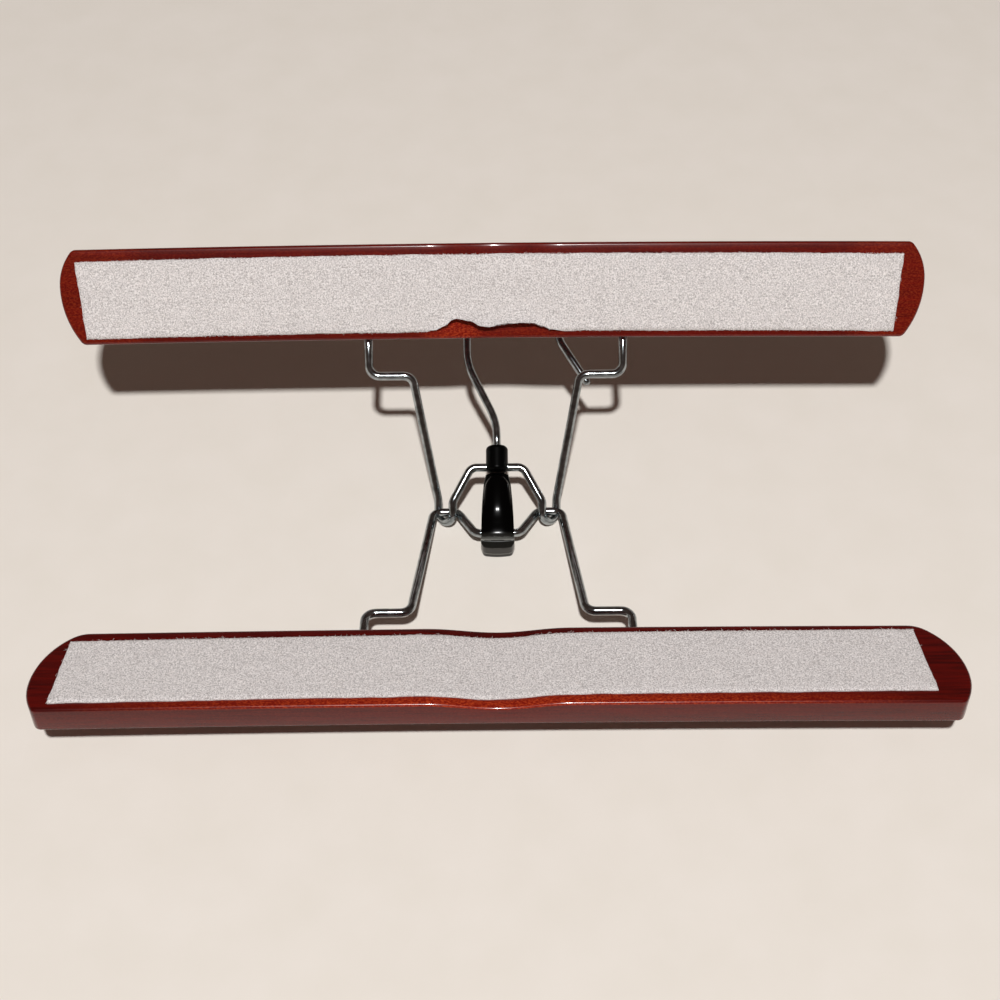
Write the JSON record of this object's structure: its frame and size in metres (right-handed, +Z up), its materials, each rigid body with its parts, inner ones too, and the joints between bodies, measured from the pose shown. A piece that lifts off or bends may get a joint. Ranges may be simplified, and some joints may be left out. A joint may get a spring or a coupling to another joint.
{
  "type": "trouser hanger",
  "caption": "Trouser hanger lying open: two felt-lined wooden bars on interlocked chromed wire bails, with a black lock lever and a swivelling wire hook.",
  "frame": {"origin": "centre of the bounding box's bottom, on the ground under the open hanger", "axes": "+Z up, +X along the bars, +Y from the front bar towards the hook and the rear bar; X is the fold axis's direction"},
  "size_m": [0.356, 0.1972, 0.0906],
  "materials": {
    "wood": "cherry-red stained hardwood under clear gloss lacquer",
    "felt": "white-grey pressed felt",
    "wire": "chromed steel wire",
    "lever": "moulded black plastic, polished",
    "collar": "moulded black plastic, matte"
  },
  "bodies": {
    "front_half": {"front_bar": "wood", "front_felt": "felt", "front_bail": "wire"},
    "rear_half": {"rear_bar": "wood", "rear_felt": "felt", "rear_bail": "wire"},
    "lever": {"lock_lever": "lever", "hook_collar": "collar"},
    "hook": {"hook": "wire"}
  },
  "joints": [
    {"name": "fold", "type": "hinge", "parent": "front_half", "child": "rear_half", "pos_m": [0, 0.01188, 0.00558], "axis": [1, 0, 0], "range_deg": [0, 112.3]},
    {"name": "lever_turn", "type": "hinge", "parent": "rear_half", "child": "lever", "pos_m": [0, 0.02484, 0.01948], "axis": [-1, 0, 0], "range_deg": [0, 148.5]},
    {"name": "hook_swivel", "type": "hinge", "parent": "lever", "child": "hook", "pos_m": [0, 0.02412, 0.02134], "axis": [0, 0.9336, 0.3584], "range_deg": [0, 180]}
  ],
  "couplings": [
    {"joint": "lever_turn", "follows": "fold", "ratio": 1.321}
  ]
}
